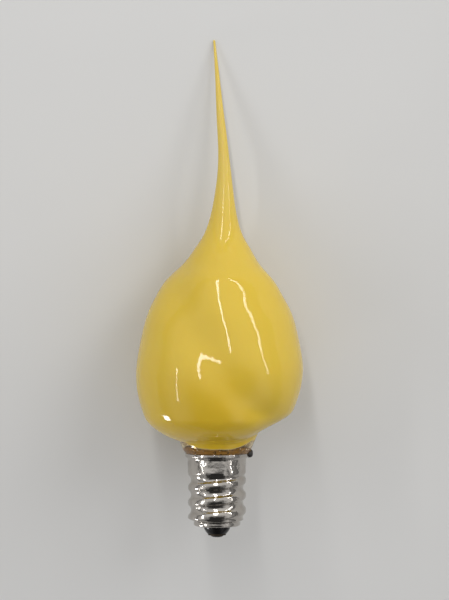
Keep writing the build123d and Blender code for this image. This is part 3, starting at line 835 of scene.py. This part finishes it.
class LAMP_OT_neck(bpy.types.Operator):
    """Press out the cement that shows as an amber ring through the clear silicone at the neck"""
    bl_idname = "lamp.neck"
    bl_label = "Cement at the neck"

    def execute(self, context):
        around = 160
        angles = np.arange(around) * 360 / around
        turn = np.radians(angles)
        # How far the ring creeps up the glass: uneven, as it was squeezed out
        creep = 1.35 + 0.22 * np.sin(3 * turn + 0.4) + 0.13 * np.sin(7 * turn + 1.9)
        creep += 0.07 * np.sin(13 * turn)
        rings = []
        for share, out in NECK_BEAD:
            height = RIM_HEIGHT + share * creep
            rings.append(ring_points(read_curve(GLASS_CURVE, height) + out, height, turn))
        points = [tuple(point) for ring in rings for point in ring]
        faces = tube_faces(len(rings), around)
        last = (len(rings) - 1) * around
        faces += [(last + i, i, (i + 1) % around, last + (i + 1) % around) for i in range(around)]
        amber = cement_finish("neck_amber", (0.40, 0.22, 0.035))
        finish_piece(place_mesh("neck_cement", points, faces, amber), "cement")
        return {"FINISHED"}


class LAMP_OT_inside(bpy.types.Operator):
    """Finish the glass and its stem, and wind the filament"""
    bl_idname = "lamp.inside"
    bl_label = "Glass and filament"

    def execute(self, context):
        glass = clear_glass_finish()
        coat_node("glass_envelope", glass)
        coat_node("stem_glass", glass)
        lead = metal_finish("lead_wire", (0.66, 0.62, 0.56), (0.45, 0.40, 0.34), 0.2, 0.4)
        for node in ("lead_wire_contact", "lead_wire_shell", "filament_supports"):
            coat_node(node, lead)
        tungsten = metal_finish("tungsten", (0.32, 0.32, 0.33), (0.18, 0.18, 0.19), 0.3, 0.5)
        finish_piece(filament_tree(tungsten).bake("coiled_filament"), "tungsten", "filament")
        return {"FINISHED"}


class LAMP_OT_bubbles(bpy.types.Operator):
    """Catch small air bubbles in the clear silicone at the neck, painted white as glints"""
    bl_idname = "lamp.bubbles"
    bl_label = "Bubbles"

    def execute(self, context):
        # Painted glints: the bubbles are opaque and near white, in place of clear bubbles that
        # catch the light
        bubble_glint = Finish("air_bubble", ior=1.3, roughness=0.05)
        glint_tint = bubble_glint.noise(bubble_glint.place, 1.0)
        bubble_glint.set("Base Color", bubble_glint.mix(glint_tint, (0.95, 0.95, 0.92, 1), (0.75, 0.72, 0.62, 1)))
        bubbles = bubble_tree(context.scene.lamp_silicone, bubble_glint.material).bake("air_bubbles")
        finish_piece(bubbles, "silicone")
        return {"FINISHED"}


def area_light(name, place, target, width, length, power, slant=0.0):
    """A soft rectangular lamp that points at a place, its long side near +Y or slanted to +X."""
    data = bpy.data.lights.new(name, "AREA")
    data.shape = "RECTANGLE"
    data.size = width
    data.size_y = length
    data.energy = power
    light = bpy.data.objects.new(name, data)
    light.location = place
    away = (Vector(place) - Vector(target)).normalized()
    along = Vector((slant, 1, 0)).normalized()
    long_side = (along - away * away.dot(along)).normalized()
    light.rotation_euler = Matrix((long_side.cross(away), long_side, away)).transposed().to_euler()
    light.visible_camera = False
    bpy.context.scene.collection.objects.link(light)
    return light


def lay_floor(settings):
    """A plain pale floor under the lamp."""
    reach = 2.0
    mesh = bpy.data.meshes.new("floor")
    corners = [(-reach, -reach, 0), (reach, -reach, 0), (reach, reach, 0), (-reach, reach, 0)]
    mesh.from_pydata(corners, [], [(0, 1, 2, 3)])
    floor = bpy.data.objects.new("floor", mesh)
    bpy.context.scene.collection.objects.link(floor)
    finish = Finish("pale_floor", roughness=0.7)
    shade = finish.noise(finish.place, 0.02, 3.0)
    pale = settings.floor_colour
    finish.set("Base Color", finish.mix(shade, opaque(pale), opaque(pale, 0.96)))
    mesh.materials.append(finish.material)


def hang_sky(settings):
    """Soft light from all round, more of it from the right, and a studio that metal mirrors."""
    world = bpy.data.worlds.new("studio")
    world.use_nodes = True
    bpy.context.scene.world = world
    graph = Graph(world.node_tree)
    graph.tree.nodes.clear()
    back = graph.node("ShaderNodeBackground")
    out = graph.node("ShaderNodeOutputWorld")
    graph.join(back.outputs[0], out.inputs[0])
    rays = graph.node("ShaderNodeLightPath")
    towards = graph.node("ShaderNodeTexCoord")
    split = graph.node("ShaderNodeSeparateXYZ")
    graph.join(towards.outputs["Generated"], split.inputs[0])
    across, along, up = split.outputs
    # Angles off straight up: to the right, and up the lamp
    height = graph.math("MAXIMUM", up, 0.001)
    aside = graph.math("ARCTAN2", across, height)
    ahead = graph.math("ARCTAN2", along, height)

    def swing(angle, low, high, start=0.0, end=1.0):
        return graph.ramp(angle, math.radians(low), math.radians(high), start, end)

    # Dark overhead and, wider, beyond the cap; open and pale up the lamp and to both sides
    wider = swing(ahead, -40, -75, 0, math.radians(26))
    dark = graph.multiply(swing(graph.add(aside, wider), -58, -22),
                          swing(graph.subtract(aside, wider), 52, 18))
    dark = graph.multiply(dark, swing(ahead, 27, -12))
    right_side = swing(aside, 45, 80, settings.mirrored, 0.22)
    pale = graph.multiply(right_side, swing(aside, -88, -62, 0.3, 1.0))
    mirrored = graph.multiply(pale, graph.subtract(1, graph.multiply(dark, 0.95)))
    from_right = graph.add(graph.multiply(across, 0.55), graph.multiply(along, 0.36))
    from_right = graph.add(from_right, graph.multiply(up, 0.67))
    soft = graph.ramp(from_right, -0.2, 1.0, 0.75 * settings.sky, 1.5 * settings.sky)
    # White to the camera and through glass, the studio in mirrors, soft light for the rest
    glossy = rays.outputs["Is Glossy Ray"]
    seen = graph.math("MAXIMUM", rays.outputs["Is Camera Ray"], rays.outputs["Is Transmission Ray"])
    reflected = graph.multiply(glossy, mirrored)
    light = graph.add(reflected, graph.multiply(graph.subtract(1, glossy), soft))
    strength = graph.add(seen, graph.multiply(graph.subtract(1, seen), light))
    graph.join(strength, back.inputs["Strength"])
    back.inputs["Color"].default_value = (1, 1, 1, 1)


def hang_lights(settings):
    """A soft key, and long thin and small lamps that the wet skin mirrors."""
    aim = LAMP @ Vector((0, 40, 0))
    key = area_light("key", (0.42, 0.40, 0.52), aim, 0.30, 0.30, settings.key)
    key.visible_glossy = False
    area_light("overhead_strip", (-0.075, 0.39, 0.35), aim, 0.034, 0.62, 0.95, slant=-0.12)
    area_light("right_strip", (0.65, 0.56, 0.35), aim, 0.045, 1.62, 2.6)
    area_light("left_strip", (-0.49, -0.02, 0.35), aim, 0.016, 0.44, 0.45)
    area_light("window", (-0.52, -0.37, 0.045), aim, 0.10, 0.08, 0.8)


def set_camera():
    """A camera square to the lamp's axis, with the contact's tip and the axis at their pixels."""
    image = Vector((449, 600))
    focal = 1800.0
    scale = 0.20085 * MM
    tip_pixel = Vector((217, 537))
    raised = math.radians(1.0)
    depth = focal * scale
    tip_over_side = UP_THE_LAMP * math.cos(raised) + TOP_SIDE * math.sin(raised)
    back_axis = RIGHT.cross(tip_over_side)
    across = (tip_pixel.x - image.x / 2) / focal * depth
    up = -(tip_pixel.y - image.y / 2) / focal * depth
    data = bpy.data.cameras.new("camera")
    data.sensor_fit = "AUTO"
    data.sensor_width = 36
    data.lens = data.sensor_width * focal / image.y
    camera = bpy.data.objects.new("camera", data)
    turn = Matrix((RIGHT, tip_over_side, back_axis)).transposed()
    place = TIP - RIGHT * across - tip_over_side * up + back_axis * depth
    camera.matrix_world = Matrix.Translation(place) @ turn.to_4x4()
    data.clip_start = 0.01
    data.clip_end = 10
    bpy.context.scene.collection.objects.link(camera)
    bpy.context.scene.camera = camera


class LAMP_OT_stage(bpy.types.Operator):
    """Lay the floor, hang the lights and set the camera"""
    bl_idname = "lamp.stage"
    bl_label = "Floor, light and camera"

    def execute(self, context):
        settings = context.scene.lamp_stage
        lay_floor(settings)
        hang_sky(settings)
        hang_lights(settings)
        set_camera()
        context.scene.view_settings.view_transform = "Standard"
        return {"FINISHED"}


class LAMP_PT_panel(bpy.types.Panel):
    """Buttons for each of the lamp's pieces"""
    bl_label = "Night-light lamp"
    bl_idname = "LAMP_PT_panel"
    bl_space_type = "VIEW_3D"
    bl_region_type = "UI"
    bl_category = "Lamp"

    def draw(self, context):
        layout = self.layout
        groups = (context.scene.lamp_silicone, context.scene.lamp_cap, context.scene.lamp_stage)
        for group in groups:
            box = layout.box()
            for name in group.__annotations__:
                box.prop(group, name)
        for operator in OPERATORS:
            layout.operator(operator.bl_idname)


OPERATORS = (
    LAMP_OT_silicone, LAMP_OT_cap, LAMP_OT_neck, LAMP_OT_inside, LAMP_OT_bubbles, LAMP_OT_stage,
)
CLASSES = (LampSilicone, LampCap, LampStage) + OPERATORS + (LAMP_PT_panel,)


def register():
    for cls in CLASSES:
        bpy.utils.register_class(cls)
    bpy.types.Scene.lamp_silicone = PointerProperty(type=LampSilicone)
    bpy.types.Scene.lamp_cap = PointerProperty(type=LampCap)
    bpy.types.Scene.lamp_stage = PointerProperty(type=LampStage)


def unregister():
    del bpy.types.Scene.lamp_stage
    del bpy.types.Scene.lamp_cap
    del bpy.types.Scene.lamp_silicone
    for cls in reversed(CLASSES):
        bpy.utils.unregister_class(cls)


def main():
    register()
    bpy.ops.lamp.silicone()
    bpy.ops.lamp.cap()
    bpy.ops.lamp.neck()
    bpy.ops.lamp.inside()
    bpy.ops.lamp.bubbles()
    bpy.ops.lamp.stage()


if __name__ == "__main__":
    main()
